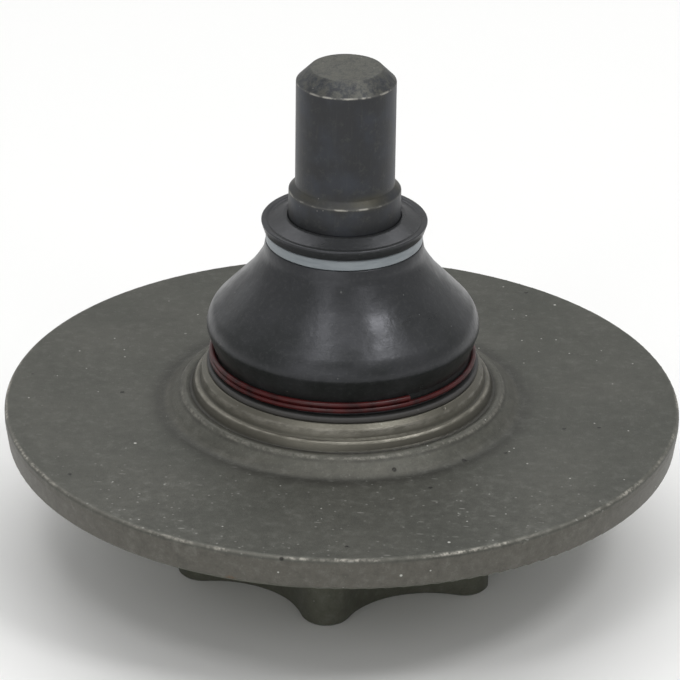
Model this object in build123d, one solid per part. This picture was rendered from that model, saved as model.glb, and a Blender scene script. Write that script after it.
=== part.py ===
"""Suspension ball joint: a flanged, six-lobed housing with a straight clamping pin.

Millimetres. +Z runs along the pin at rest, and the origin is the centre of the
housing's bottom face, on which the joint stands. The housing is closed from below:
the ball goes in, its bearing, pressure cup and spring follow, and the housing's lip
is rolled over the cover plate.
"""

import os
from math import cos, radians, sin, sqrt, tan

from build123d import *

# ---- Housing: flange and six-lobed barrel ------------------------------------
FLANGE_D = 138.0
FLANGE_T = 7.0
FLANGE_LAND = 2.0           # straight part of the rim, under its top edge
FLANGE_DRAFT = 8.0          # degrees, the rest of the rim narrows to the underside
FLANGE_EDGE_R = 0.9         # rounding of both rim edges

BARREL_H = 26.6
LOBE_COUNT = 6
LOBE_TIP_D = 72.0           # across the lobes
LOBE_VALLEY_D = 52.0        # across the flutes
LOBE_R = 5.0                # rounding of each lobe
LOBE_START = -90.0          # degrees from +X to the middle of the first lobe
BARREL_FOOT_CHAMFER = 0.5
BARREL_ROOT_FILLET = 2.0    # where the barrel meets the flange

# ---- Housing: turned hub above the flange, from the boot's seat outwards -----
SPIGOT_D = 45.0             # spigot inside the boot's bead
SPIGOT_L = 4.0              # its length above the boot's seat
SPIGOT_CHAMFER = 0.8
BOOT_SEAT_MARGIN = 0.1      # seat beyond the boot's bead
SEAT_BEVEL_W = 0.95
SEAT_BEVEL_FALL = 1.0
SEAT_RISER_W = 0.45         # riser that carries the seat and its bevel
SEAT_RISE = 2.8
LEDGE_W = 0.9
LEDGE_FALL = 0.25
STEP_RISER_W = 0.7
STEP_RISE = 1.95
HOLLOW_W = 1.6              # shallow ring between the step and the boss
HOLLOW_DEEP = 0.5
BOSS_SLOPE_W = 3.8
BOSS_CREST_H = 3.5          # above the flange
BOSS_FOOT_R = 3.0           # roundings along the outline, from the flange inwards
BOSS_CREST_R = 0.9
STEP_FOOT_R = 0.5
STEP_EDGE_R = 0.7
COVE_R = 0.5
SEAT_BEVEL_R = 0.8
SEAT_EDGE_R = 0.5

# ---- Housing: opening above the ball and closure below it --------------------
TILT_MAX = 20.0             # degrees each way
THROAT_RISE = 13.0          # the seat's upper end, above the ball's centre
THROAT_CLEARANCE = 1.2      # round the fully tilted neck at the mouth
LIP_T = 1.6                 # lip rolled over the cover plate
LIP_W = 2.1
COVER_SHOULDER = 1.5        # ledge in the bore that the cover plate lies on

# ---- Ball stud ---------------------------------------------------------------
BALL_D = 34.0
BALL_FLAT_DROP = 15.5       # flat under the ball, below its centre
NECK_D = 17.0
NECK_FILLET = 1.5           # where the neck meets the ball
FLARE_L = 9.0               # between the neck and the collar
FLARE_FOOT_R = 14.0
FLARE_TOP_R = 6.0
COLLAR_L = 17.8
COLLAR_BARE_L = 5.55        # part of the collar that stands out of the boot
COLLAR_STEP = 1.3           # collar beyond the pin, with a 45 degree bevel
PIN_D = 20.0                # straight pin for a pinch clamp
PIN_L = 24.7
PIN_CHAMFER = 2.8
PIN_EDGE_R = 0.35

# ---- Bearing -----------------------------------------------------------------
BEARING_WALL = 3.0          # plastic between the ball and the bore
BALL_CLEARANCE = 0.05       # around the ball
SHELL_TOP_RISE = 9.0        # upper shell, from the ball's centre upwards
SHELL_FOOT_DROP = 3.0       # and downwards
CUP_TOP_DROP = 4.0          # pressure cup, from the ball's centre downwards
CUP_CLEARANCE = 0.05        # around the cup, which turns in the bore
CUP_FOOT_CHAMFER = 1.5
CUP_HOLE_D = 9.0            # grease hole in the cup's floor
GREASE_GROOVES = 6
GREASE_GROOVE_W = 1.6
GREASE_GROOVE_DEEP = 0.7

# ---- Spring and cover --------------------------------------------------------
SPRING_H = 3.2              # between the cover plate and the cup
SPRING_EDGE_GAP = 1.0       # around the spring
SPRING_INNER_D = 21.0
SPRING_T = 1.4
SEAT_GAP = 0.03             # between parts that press together
COVER_T = 3.2
COVER_CLEARANCE = 0.05
COVER_EDGE_R = 0.4
COVER_DISH_D = 26.0         # pressed-in middle of the cover
COVER_DISH_DEEP = 1.2
COVER_DISH_R = 1.0

# ---- Dust boot, from its foot upwards ----------------------------------------
BOOT_WALL = 2.2
BOOT_SPIGOT_GAP = 0.05
BOOT_FOOT_EDGE_R = 0.4
BOOT_BEAD_H = 1.2           # bead that stands on the housing's boot seat
BOOT_BEAD_W = 1.65          # bead beyond the floor of the wire's groove
BOOT_BEAD_EDGE_R = 0.5
BOOT_CLAMPED_WALL = 3.5     # between the spigot and the floor of the wire's groove
BOOT_GROOVE_H = 2.9         # height of that floor
BOOT_BELLY_W = 1.65         # belly beyond that floor
BOOT_BELLY_RISE = 8.8       # widest height, above the boot's seat
BOOT_BELLY_EDGE_R = 1.0     # edge at that height, above the undercut
BOOT_BELLY_ROUND = 6.5      # section radius of the belly above it
BOOT_FLANK_ANGLE = 43.5     # degrees from the axis, the flank from belly to neck
BOOT_HOLLOW_ROUND = 9.0     # section radius of the hollow above the flank
BOOT_NECK_L = 0.2           # straight neck below the ring
BOOT_NECK_WALL = 2.85       # between the collar and the floor of the ring's groove
BOOT_NECK_STEP = 1.6        # neck beyond that floor
BOOT_LIP_FOOT_W = 1.9       # lip beyond that floor, where it starts above the ring
BOOT_LIP_W = 2.65           # and at its top
BOOT_LIP_T = 1.8
BOOT_LIP_EDGE_R = 0.4
BOOT_RIM_H = 0.5            # raised rim round the lip's dished top
BOOT_RIM_W = 1.1
BOOT_RIM_EDGE_R = 0.3
BOOT_SEAL_RISE = 1.5        # sealing edge round the collar, above the dished top
BOOT_SEAL_W = 0.9
BOOT_COLLAR_GAP = 0.05

# ---- Boot clamps -------------------------------------------------------------
RING_T = 1.6                # plastic ring round the boot's neck
RING_H = 2.2
RING_EDGE_R = 0.3
RING_GAP = 0.02

WIRE_D = 1.15
WIRE_TURNS = 1.55
WIRE_PITCH = 1.2
WIRE_TOP_ANGLE = -55.0      # degrees from +X to the wire's upper end
WIRE_GAP = 0.02

# ---- Radii that several pieces share -----------------------------------------
BALL_R = BALL_D / 2
SEAT_R = BALL_R + BALL_CLEARANCE
BORE_R = BALL_R + BEARING_WALL
COUNTERBORE_R = BORE_R + COVER_SHOULDER
NECK_R = NECK_D / 2
PIN_R = PIN_D / 2
COLLAR_R = PIN_R + COLLAR_STEP
SPIGOT_R = SPIGOT_D / 2
BOOT_FOOT_R = SPIGOT_R + BOOT_SPIGOT_GAP
WIRE_SEAT_R = BOOT_FOOT_R + BOOT_CLAMPED_WALL
BEAD_R = WIRE_SEAT_R + BOOT_BEAD_W
BELLY_R = WIRE_SEAT_R + BOOT_BELLY_W
BOOT_BORE_R = COLLAR_R + BOOT_COLLAR_GAP
RING_SEAT_R = BOOT_BORE_R + BOOT_NECK_WALL
BOOT_NECK_R = RING_SEAT_R + BOOT_NECK_STEP

# ---- Heights from the bottom of the housing ----------------------------------
COVER_TOP_Z = LIP_T + COVER_T
CUP_FOOT_Z = COVER_TOP_Z + SPRING_H
BALL_Z = CUP_FOOT_Z + BORE_R
FLANGE_Z = BARREL_H + FLANGE_T
HOLLOW_Z = FLANGE_Z + BOSS_CREST_H - HOLLOW_DEEP
LEDGE_Z = HOLLOW_Z + STEP_RISE
BOOT_SEAT_Z = LEDGE_Z + LEDGE_FALL + SEAT_RISE
SPIGOT_Z = BOOT_SEAT_Z + SPIGOT_L
BEAD_Z = BOOT_SEAT_Z + BOOT_BEAD_H

# ---- The boot's section: two rounds joined by the straight flank -------------
FLANK_UP = Vector(-sin(radians(BOOT_FLANK_ANGLE)), cos(radians(BOOT_FLANK_ANGLE)))
FLANK_OUT = Vector(cos(radians(BOOT_FLANK_ANGLE)), sin(radians(BOOT_FLANK_ANGLE)))
BELLY = Vector(BELLY_R - BOOT_BELLY_ROUND, BOOT_SEAT_Z + BOOT_BELLY_RISE)


def beside_flank(radius: float, offset: float) -> Vector:
    """Point at this radius that lies this far outside the boot's straight flank."""
    start = BELLY + FLANK_OUT * (BOOT_BELLY_ROUND + offset)
    return start + FLANK_UP * ((radius - start.X) / FLANK_UP.X)


HOLLOW = beside_flank(BOOT_NECK_R + BOOT_HOLLOW_ROUND, BOOT_HOLLOW_ROUND)
SHOULDER_Z = HOLLOW.Y + BOOT_NECK_L
RING_TOP_Z = SHOULDER_Z + RING_H + 2 * RING_GAP
LIP_TOP_Z = RING_TOP_Z + BOOT_LIP_T
BOOT_TOP_Z = LIP_TOP_Z + BOOT_SEAL_RISE
COLLAR_TOP_Z = BOOT_TOP_Z + COLLAR_BARE_L
PIN_FOOT_Z = COLLAR_TOP_Z + COLLAR_STEP
PIN_TOP_Z = PIN_FOOT_Z + PIN_L


def turned(*outline) -> Part:
    """Solid of revolution about Z from a closed outline in radius and height."""
    return revolve(Plane.XZ * make_face(Curve() + list(outline)), Axis.Z)


def rings_at(part: Part, radius: float, height: float) -> ShapeList:
    """Circular edges about Z with this radius at this height."""
    tolerance = 0.01
    circles = part.edges().filter_by(GeomType.CIRCLE)
    return circles.filter_by(
        lambda edge: abs(edge.radius - radius) < tolerance
        and abs(edge.arc_center.Z - height) < tolerance
        and abs(edge.arc_center.X) + abs(edge.arc_center.Y) < tolerance
    )


def leg(hypotenuse: float, other: float) -> float:
    """Other leg of a right triangle, such as the radius of a sphere's section."""
    return sqrt(hypotenuse**2 - other**2)


# ---- Housing -----------------------------------------------------------------
def lobed_face() -> Sketch:
    """Outline of the barrel: rounded lobes joined by tangent hollow flutes."""
    half_step = radians(180 / LOBE_COUNT)
    lobe_at = LOBE_TIP_D / 2 - LOBE_R
    valley = LOBE_VALLEY_D / 2
    across = lobe_at * cos(half_step)
    # The flute's arc touches the valley circle and both of its lobes.
    flute_r = (lobe_at**2 + valley**2 - 2 * valley * across - LOBE_R**2) / (
        2 * (LOBE_R - valley + across)
    )
    flute_at = valley + flute_r

    def polar(distance: float, angle: float) -> Vector:
        return Vector(distance * cos(angle), distance * sin(angle))

    arcs = []
    for index in range(LOBE_COUNT):
        middle = radians(LOBE_START) + index * 2 * half_step
        lobe = polar(lobe_at, middle)
        next_lobe = polar(lobe_at, middle + 2 * half_step)
        flute_before = polar(flute_at, middle - half_step)
        flute = polar(flute_at, middle + half_step)
        lobe_start = lobe + (flute_before - lobe).normalized() * LOBE_R
        lobe_end = lobe + (flute - lobe).normalized() * LOBE_R
        flute_end = next_lobe + (flute - next_lobe).normalized() * LOBE_R
        arcs.append(ThreePointArc(lobe_start, polar(LOBE_TIP_D / 2, middle), lobe_end))
        arcs.append(ThreePointArc(lobe_end, polar(valley, middle + half_step), flute_end))
    return make_face(Curve() + arcs)


def throat_mouth_r() -> float:
    """Radius of the opening at the spigot's top, which the tilted neck must clear."""
    tilt = radians(TILT_MAX)
    return (SPIGOT_Z - BALL_Z) * tan(tilt) + NECK_R / cos(tilt) + THROAT_CLEARANCE


def hub_outline() -> Curve:
    """Upper face of the housing, from the flange's rim to the throat's mouth."""
    seat_r = BEAD_R + BOOT_SEAT_MARGIN
    bevel_r = seat_r + SEAT_BEVEL_W
    ledge_r = bevel_r + SEAT_RISER_W
    step_r = ledge_r + LEDGE_W
    hollow_r = step_r + STEP_RISER_W
    crest_r = hollow_r + HOLLOW_W
    return FilletPolyline(
        (FLANGE_D / 2, FLANGE_Z),
        (crest_r + BOSS_SLOPE_W, FLANGE_Z),
        (crest_r, FLANGE_Z + BOSS_CREST_H),
        (hollow_r, HOLLOW_Z),
        (step_r, LEDGE_Z),
        (ledge_r, LEDGE_Z + LEDGE_FALL),
        (bevel_r, BOOT_SEAT_Z - SEAT_BEVEL_FALL),
        (seat_r, BOOT_SEAT_Z),
        (SPIGOT_R, BOOT_SEAT_Z),
        (SPIGOT_R, SPIGOT_Z),
        (throat_mouth_r(), SPIGOT_Z),
        radius=[
            BOSS_FOOT_R,
            BOSS_CREST_R,
            STEP_FOOT_R,
            STEP_EDGE_R,
            COVE_R,
            SEAT_BEVEL_R,
            SEAT_EDGE_R,
            0,
            0,
        ],
    )


def make_housing() -> Part:
    rim_r = FLANGE_D / 2
    rim_foot_r = rim_r - (FLANGE_T - FLANGE_LAND) * tan(radians(FLANGE_DRAFT))
    mouth = (throat_mouth_r(), SPIGOT_Z)
    throat = (leg(BORE_R, THROAT_RISE), BALL_Z + THROAT_RISE)
    upper = turned(
        hub_outline(),
        Polyline(
            mouth,
            (0, SPIGOT_Z),
            (0, BARREL_H),
            (rim_foot_r, BARREL_H),
            (rim_r, FLANGE_Z - FLANGE_LAND),
            (rim_r, FLANGE_Z),
        ),
    )
    upper = fillet(rings_at(upper, rim_r, FLANGE_Z), FLANGE_EDGE_R)
    upper = fillet(rings_at(upper, rim_foot_r, BARREL_H), FLANGE_EDGE_R)
    upper = chamfer(rings_at(upper, SPIGOT_R, SPIGOT_Z), SPIGOT_CHAMFER)

    barrel = extrude(lobed_face(), BARREL_H)
    barrel = chamfer(barrel.edges().group_by(Axis.Z)[0], BARREL_FOOT_CHAMFER)
    body = upper + barrel
    underside = body.edges().filter_by_position(Axis.Z, BARREL_H, BARREL_H)
    root = underside.filter_by(lambda edge: edge.radius < LOBE_TIP_D / 2)
    body = fillet(root, BARREL_ROOT_FILLET)

    cavity = turned(
        Polyline((0, SPIGOT_Z), mouth, throat),
        RadiusArc(throat, (BORE_R, BALL_Z), BORE_R),
        Polyline(
            (BORE_R, BALL_Z),
            (BORE_R, COVER_TOP_Z),
            (COUNTERBORE_R, COVER_TOP_Z),
            (COUNTERBORE_R, LIP_T),
            (COUNTERBORE_R - LIP_W, LIP_T),
            (COUNTERBORE_R - LIP_W, 0),
            (0, 0),
            (0, SPIGOT_Z),
        ),
    )
    return body - cavity


# ---- Ball stud ---------------------------------------------------------------
def make_ball_stud() -> Part:
    flat = (leg(BALL_R, BALL_FLAT_DROP), BALL_Z - BALL_FLAT_DROP)
    neck_foot = (NECK_R, BALL_Z + leg(BALL_R, NECK_R))
    collar_foot_z = COLLAR_TOP_Z - COLLAR_L
    stud = turned(
        ThreePointArc(flat, (BALL_R, BALL_Z), neck_foot),
        FilletPolyline(
            neck_foot,
            (NECK_R, collar_foot_z - FLARE_L),
            (COLLAR_R, collar_foot_z),
            (COLLAR_R, COLLAR_TOP_Z),
            (PIN_R, PIN_FOOT_Z),
            (PIN_R, PIN_TOP_Z - PIN_CHAMFER),
            (PIN_R - PIN_CHAMFER, PIN_TOP_Z),
            (0, PIN_TOP_Z),
            radius=[FLARE_FOOT_R, FLARE_TOP_R, PIN_EDGE_R, PIN_EDGE_R, PIN_EDGE_R, PIN_EDGE_R],
        ),
        Polyline((0, PIN_TOP_Z), (0, BALL_Z - BALL_FLAT_DROP), flat),
    )
    return fillet(rings_at(stud, *neck_foot), NECK_FILLET)


# ---- Bearing -----------------------------------------------------------------
def grease_grooves() -> Part:
    """Upright grooves that cut a little deeper than the ball's seat."""
    groove_r = SEAT_R + GREASE_GROOVE_DEEP
    blade = Cylinder(groove_r, GREASE_GROOVE_W, rotation=(90, 0, 0))
    grooves = Part()
    for index in range(GREASE_GROOVES // 2):
        turn = index * 360 / GREASE_GROOVES
        grooves += Pos(0, 0, BALL_Z) * Rot(0, 0, turn) * blade
    return grooves


def make_upper_bearing_shell() -> Part:
    top_z = BALL_Z + SHELL_TOP_RISE
    foot_z = BALL_Z - SHELL_FOOT_DROP
    outer_top = (leg(BORE_R, SHELL_TOP_RISE), top_z)
    inner_top = (leg(SEAT_R, SHELL_TOP_RISE), top_z)
    inner_foot = (leg(SEAT_R, SHELL_FOOT_DROP), foot_z)
    shell = turned(
        Line(inner_top, outer_top),
        RadiusArc(outer_top, (BORE_R, BALL_Z), BORE_R),
        Polyline((BORE_R, BALL_Z), (BORE_R, foot_z), inner_foot),
        ThreePointArc(inner_foot, (SEAT_R, BALL_Z), inner_top),
    )
    return shell - grease_grooves()


def make_pressure_cup() -> Part:
    outer_r = BORE_R - CUP_CLEARANCE
    height = BORE_R - CUP_TOP_DROP
    blank = Pos(0, 0, CUP_FOOT_Z + height / 2) * Cylinder(outer_r, height)
    blank = chamfer(rings_at(blank, outer_r, CUP_FOOT_Z), CUP_FOOT_CHAMFER)
    seat = Pos(0, 0, BALL_Z) * Sphere(SEAT_R)
    hole = Pos(0, 0, CUP_FOOT_Z) * Cylinder(CUP_HOLE_D / 2, height)
    return blank - seat - hole - grease_grooves()


# ---- Spring and cover --------------------------------------------------------
def make_preload_spring() -> Part:
    """Conical washer: its inner edge lifts the cup, its outer edge is on the cover."""
    outer_r = BORE_R - SPRING_EDGE_GAP
    inner_r = SPRING_INNER_D / 2
    foot_z = COVER_TOP_Z + SEAT_GAP
    crown_z = CUP_FOOT_Z - SEAT_GAP
    return turned(
        Polyline(
            (outer_r, foot_z),
            (outer_r, foot_z + SPRING_T),
            (inner_r, crown_z),
            (inner_r, crown_z - SPRING_T),
            (outer_r, foot_z),
        )
    )


def make_cover_plate() -> Part:
    cover_r = COUNTERBORE_R - COVER_CLEARANCE
    dish_r = COVER_DISH_D / 2
    dish_z = LIP_T + COVER_DISH_DEEP
    plate = turned(
        FilletPolyline(
            (cover_r, LIP_T),
            (dish_r, LIP_T),
            (dish_r - COVER_DISH_DEEP, dish_z),
            (0, dish_z),
            radius=COVER_DISH_R,
        ),
        Polyline((0, dish_z), (0, COVER_TOP_Z), (cover_r, COVER_TOP_Z), (cover_r, LIP_T)),
    )
    return fillet(rings_at(plate, cover_r, LIP_T), COVER_EDGE_R)


# ---- Dust boot ---------------------------------------------------------------
def boot_outside() -> list[Curve]:
    """Foot, bead, wire groove, undercut, belly, flank, hollow, neck, ring groove and lip."""
    widest = (BELLY_R, BELLY.Y)
    flank_foot = BELLY + FLANK_OUT * BOOT_BELLY_ROUND
    flank_top = HOLLOW - FLANK_OUT * BOOT_HOLLOW_ROUND
    neck_foot = (BOOT_NECK_R, HOLLOW.Y)
    lip_r = RING_SEAT_R + BOOT_LIP_W
    rim_r = lip_r - BOOT_RIM_W
    return [
        FilletPolyline(
            (BOOT_FOOT_R, BEAD_Z),
            (BOOT_FOOT_R, BOOT_SEAT_Z),
            (BEAD_R, BOOT_SEAT_Z),
            (BEAD_R, BEAD_Z),
            (WIRE_SEAT_R, BEAD_Z),
            (WIRE_SEAT_R, BEAD_Z + BOOT_GROOVE_H),
            widest,
            radius=[BOOT_FOOT_EDGE_R, BOOT_FOOT_EDGE_R, BOOT_BEAD_EDGE_R, 0, 0],
        ),
        RadiusArc(widest, flank_foot, -BOOT_BELLY_ROUND),
        Line(flank_foot, flank_top),
        RadiusArc(flank_top, neck_foot, BOOT_HOLLOW_ROUND),
        FilletPolyline(
            neck_foot,
            (BOOT_NECK_R, SHOULDER_Z),
            (RING_SEAT_R, SHOULDER_Z),
            (RING_SEAT_R, RING_TOP_Z),
            (RING_SEAT_R + BOOT_LIP_FOOT_W, RING_TOP_Z),
            (lip_r, LIP_TOP_Z + BOOT_RIM_H),
            (rim_r, LIP_TOP_Z + BOOT_RIM_H),
            (rim_r - BOOT_RIM_H, LIP_TOP_Z),
            (BOOT_BORE_R + BOOT_SEAL_W, BOOT_TOP_Z),
            (BOOT_BORE_R, BOOT_TOP_Z),
            radius=[
                0, 0, 0, BOOT_LIP_EDGE_R, BOOT_LIP_EDGE_R,
                BOOT_RIM_EDGE_R, BOOT_RIM_EDGE_R, BOOT_RIM_EDGE_R,
            ],
        ),
    ]


def boot_inside() -> list[Curve]:
    """The same belly and flank one wall further in, between the bore and the foot."""
    inner_round = BOOT_BELLY_ROUND - BOOT_WALL
    flank_top = beside_flank(BOOT_BORE_R, -BOOT_WALL)
    flank_foot = BELLY + FLANK_OUT * inner_round
    foot_top = (BOOT_FOOT_R, BELLY.Y - leg(inner_round, BOOT_FOOT_R - BELLY.X))
    return [
        Polyline((BOOT_BORE_R, BOOT_TOP_Z), flank_top, flank_foot),
        ThreePointArc(flank_foot, (BELLY.X + inner_round, BELLY.Y), foot_top),
        Line(foot_top, (BOOT_FOOT_R, BEAD_Z)),
    ]


def make_dust_boot() -> Part:
    boot = turned(*boot_outside(), *boot_inside())
    return fillet(rings_at(boot, BELLY_R, BELLY.Y), BOOT_BELLY_EDGE_R)


# ---- Boot clamps -------------------------------------------------------------
def make_boot_neck_ring() -> Part:
    inner_r = RING_SEAT_R + RING_GAP
    outer_r = inner_r + RING_T
    ring = Cylinder(outer_r, RING_H) - Cylinder(inner_r, RING_H)
    ring = fillet(rings_at(ring, outer_r, RING_H / 2), RING_EDGE_R)
    ring = fillet(rings_at(ring, outer_r, -RING_H / 2), RING_EDGE_R)
    return Pos(0, 0, SHOULDER_Z + RING_GAP + RING_H / 2) * ring


def make_boot_clamp_wire() -> Part:
    """Spring wire wound round the boot's groove, from its bead up to the loose end."""
    coil_r = WIRE_SEAT_R + WIRE_GAP + WIRE_D / 2
    path = Helix(WIRE_PITCH, WIRE_PITCH * WIRE_TURNS, coil_r)
    section = Plane(origin=path @ 0, z_dir=path % 0) * Circle(WIRE_D / 2)
    wire = sweep(section, path, is_frenet=True)
    foot_angle = WIRE_TOP_ANGLE - 360 * WIRE_TURNS
    foot_z = BEAD_Z + WIRE_GAP + WIRE_D / 2
    return Pos(0, 0, foot_z) * Rot(0, 0, foot_angle) * wire


MAKERS = {
    "housing": make_housing,
    "ball_stud": make_ball_stud,
    "upper_bearing_shell": make_upper_bearing_shell,
    "pressure_cup": make_pressure_cup,
    "preload_spring": make_preload_spring,
    "cover_plate": make_cover_plate,
    "dust_boot": make_dust_boot,
    "boot_neck_ring": make_boot_neck_ring,
    "boot_clamp_wire": make_boot_clamp_wire,
}


def main() -> None:
    os.makedirs("parts", exist_ok=True)
    for name, make in MAKERS.items():
        part = make()
        export_step(part, f"parts/{name}.step")
        box = part.bounding_box()
        print(f"{name}: {part.volume:.0f} mm3, z {box.min.Z:.2f} to {box.max.Z:.2f}")


main()
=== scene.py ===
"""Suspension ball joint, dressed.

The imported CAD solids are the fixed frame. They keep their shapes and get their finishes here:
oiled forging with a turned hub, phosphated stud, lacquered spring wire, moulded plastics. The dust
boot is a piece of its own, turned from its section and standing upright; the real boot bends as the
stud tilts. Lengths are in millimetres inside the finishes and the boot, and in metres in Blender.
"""

from __future__ import annotations

import logging
import math
from dataclasses import dataclass
from enum import Enum
from typing import Any, Optional

import bmesh
import bpy
from mathutils import Euler, Matrix, Vector

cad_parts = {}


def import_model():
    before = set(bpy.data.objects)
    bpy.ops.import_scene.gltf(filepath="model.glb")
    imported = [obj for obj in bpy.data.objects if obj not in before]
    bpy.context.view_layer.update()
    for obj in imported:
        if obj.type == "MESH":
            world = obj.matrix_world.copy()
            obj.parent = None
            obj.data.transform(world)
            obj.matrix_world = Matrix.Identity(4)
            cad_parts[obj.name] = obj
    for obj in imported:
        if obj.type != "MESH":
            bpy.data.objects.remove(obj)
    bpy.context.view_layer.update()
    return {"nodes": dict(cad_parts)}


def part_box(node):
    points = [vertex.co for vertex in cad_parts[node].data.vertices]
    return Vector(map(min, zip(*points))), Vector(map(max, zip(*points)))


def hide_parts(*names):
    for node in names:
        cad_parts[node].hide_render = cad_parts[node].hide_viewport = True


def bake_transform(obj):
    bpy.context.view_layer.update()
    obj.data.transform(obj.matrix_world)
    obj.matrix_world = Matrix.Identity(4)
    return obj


LOG = logging.getLogger("ball_joint")
MM = 0.001
MERGE_REACH = MM / 100
RING_REACH = MM / 50
Colour = tuple[float, float, float, float]


class Body(Enum):
    """Bodies that the boot is held by, by their names in the frame."""

    SWING_SEAT = "swing_seat"
    BOOT_NECK = "boot_neck"


class Maths(Enum):
    """Operations of the Math and Vector Math nodes."""

    ADD = "ADD"
    SUBTRACT = "SUBTRACT"
    MULTIPLY = "MULTIPLY"
    MAXIMUM = "MAXIMUM"
    ABSOLUTE = "ABSOLUTE"
    SCALE = "SCALE"
    NORMALIZE = "NORMALIZE"
    LENGTH = "LENGTH"


def linear(red: float, green: float, blue: float) -> Colour:
    """Linear colour with full alpha from display values.

    Args:
        red: Display value, 0 to 255.
        green: Display value, 0 to 255.
        blue: Display value, 0 to 255.

    Returns:
        The colour as a shader socket takes it.
    """

    def one(value: float) -> float:
        """Linear share of one display value."""
        share = value / 255
        return share / 12.92 if share <= 0.04045 else ((share + 0.055) / 1.055) ** 2.4

    return one(red), one(green), one(blue), 1.0


# ---- Shader maths ------------------------------------------------------------
class Num:
    """Number that varies over a surface, for use in Python expressions."""

    def __init__(self, paint: "Paint", socket: bpy.types.NodeSocket) -> None:
        """Wraps a node's output.

        Args:
            paint: Material that the node belongs to.
            socket: Output that gives the number.
        """
        self.paint = paint
        self.socket = socket

    def _math(self, operation: Maths, *values: Any) -> "Num":
        """Adds a Math node.

        Args:
            operation: The node's operation.
            *values: Its inputs, numbers or wrapped numbers.

        Returns:
            The node's result.
        """
        settings = {"operation": operation.value}
        node = self.paint.add("ShaderNodeMath", settings, dict(enumerate(values)))
        return Num(self.paint, node.outputs[0])

    def __add__(self, other: Any) -> "Num":
        """Sum."""
        return self._math(Maths.ADD, self, other)

    __radd__ = __add__

    def __sub__(self, other: Any) -> "Num":
        """Difference."""
        return self._math(Maths.SUBTRACT, self, other)

    def __rsub__(self, other: Any) -> "Num":
        """Difference, with the number on the right."""
        return self._math(Maths.SUBTRACT, other, self)

    def __mul__(self, other: Any) -> "Num":
        """Product."""
        return self._math(Maths.MULTIPLY, self, other)

    __rmul__ = __mul__

    def __or__(self, other: Any) -> "Num":
        """Union of two masks."""
        return self._math(Maths.MAXIMUM, self, other)

    def rise(self, start: float, end: float) -> "Num":
        """Smooth step, 0 before start and 1 after end; falls where end is below start.

        Args:
            start: Value at which the step begins.
            end: Value at which it is complete.

        Returns:
            Mask between 0 and 1.
        """
        low, high = min(start, end), max(start, end)
        node = self.paint.add(
            "ShaderNodeMapRange",
            {"interpolation_type": "SMOOTHSTEP"},
            {"Value": self, "From Min": low, "From Max": high,
             "To Min": float(start > end), "To Max": float(start < end)},
        )
        return Num(self.paint, node.outputs[0])

    def near(self, middle: float, reach: float) -> "Num":
        """Soft band, 1 at the middle and 0 at this reach on both sides.

        Args:
            middle: Value at the band's middle.
            reach: Half of the band's width.

        Returns:
            Mask between 0 and 1.
        """
        return self._math(Maths.ABSOLUTE, self - middle).rise(reach, 0)


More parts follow.
